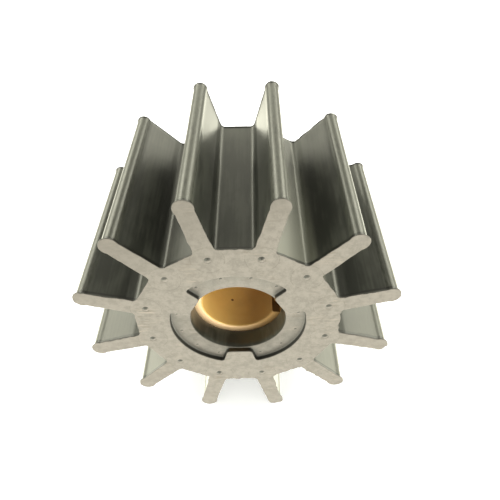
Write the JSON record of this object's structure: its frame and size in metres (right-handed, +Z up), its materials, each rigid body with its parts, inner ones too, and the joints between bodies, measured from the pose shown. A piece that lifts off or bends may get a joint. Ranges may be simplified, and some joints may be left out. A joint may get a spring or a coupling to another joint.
{
  "type": "flexible impeller",
  "caption": "Flexible rubber-vane pump impeller: a lugged hub on a keyed brass bush, with straight radial vanes that end in round beads.",
  "frame": {"origin": "middle of the bore, halfway between the two ends of the hub", "axes": "+Y along the bore from the front end to the back end, +Z up as it lies on the beads of its two lowest vanes, +X to the right seen from the front"},
  "size_m": [0.0908, 0.062, 0.0908],
  "materials": {
    "moulded_rubber": "moulded nitrile rubber, lighter matt grey ends and dark satin sides",
    "bush_brass": "machined brass, satin"
  },
  "bodies": {
    "root": {"rubber_hub": "moulded_rubber", "brass_bush": "bush_brass", "vane_01": "moulded_rubber", "vane_02": "moulded_rubber", "vane_03": "moulded_rubber", "vane_04": "moulded_rubber", "vane_05": "moulded_rubber", "vane_06": "moulded_rubber", "vane_07": "moulded_rubber", "vane_08": "moulded_rubber", "vane_09": "moulded_rubber", "vane_10": "moulded_rubber", "vane_11": "moulded_rubber", "vane_12": "moulded_rubber"}
  },
  "joints": []
}
